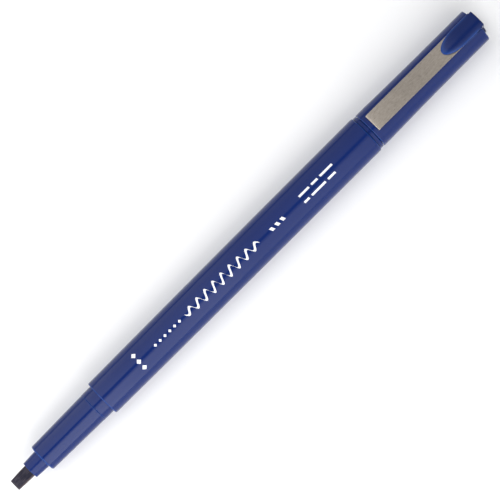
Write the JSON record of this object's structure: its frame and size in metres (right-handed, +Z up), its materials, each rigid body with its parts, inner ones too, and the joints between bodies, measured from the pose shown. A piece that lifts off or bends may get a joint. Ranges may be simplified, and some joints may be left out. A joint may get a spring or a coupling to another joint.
{
  "type": "calligraphy marker",
  "caption": "Round calligraphy marker with a broad chisel fibre nib, an ink reservoir, and a pull-off cap with a spring clip posted on the tail.",
  "frame": {"origin": "under the middle of the marker's length, on the surface it lies on", "axes": "+X along the marker from the nib to the cap, +Z up through the clip, +Y to the left seen from the nib"},
  "size_m": [0.17, 0.0112, 0.0129],
  "materials": {
    "nib_fibre": "pressed fibre, stained dark by ink",
    "holder_plastic": "moulded dark blue, glossy",
    "body_plastic": "moulded dark blue polypropylene, glossy",
    "reservoir_fibre": "fibre bundle soaked with ink",
    "reservoir_film": "thin clear film",
    "liner_plastic": "soft natural white polyethylene",
    "clip_steel": "fine lengthwise brushing",
    "crown_plastic": "moulded brighter blue, glossy"
  },
  "bodies": {
    "pen": {"nib": "nib_fibre", "nib_holder": "holder_plastic", "front_section": "body_plastic", "barrel": "body_plastic", "reservoir_core": "reservoir_fibre", "reservoir_film": "reservoir_film", "tail_plug": "body_plastic"},
    "liner": {"inner_cap": "liner_plastic"},
    "cap": {"cap_shell": "body_plastic", "crown": "crown_plastic"},
    "clip": {"clip": "clip_steel"}
  },
  "joints": [
    {"name": "cap_pull", "type": "slide", "parent": "pen", "child": "liner", "axis": [1, 0, 0], "range_m": [0, 0.02]},
    {"name": "cap_turn", "type": "hinge", "parent": "liner", "child": "cap", "pos_m": [0.075, 0, 0.00557], "axis": [1, 0, 0], "continuous": true},
    {"name": "clip_flex", "type": "hinge", "parent": "cap", "child": "clip", "pos_m": [0.077, 0, 0.01127], "axis": [0, 1, 0], "range_deg": [0, 2.5], "stiffness_Nm_per_rad": 0.3}
  ]
}
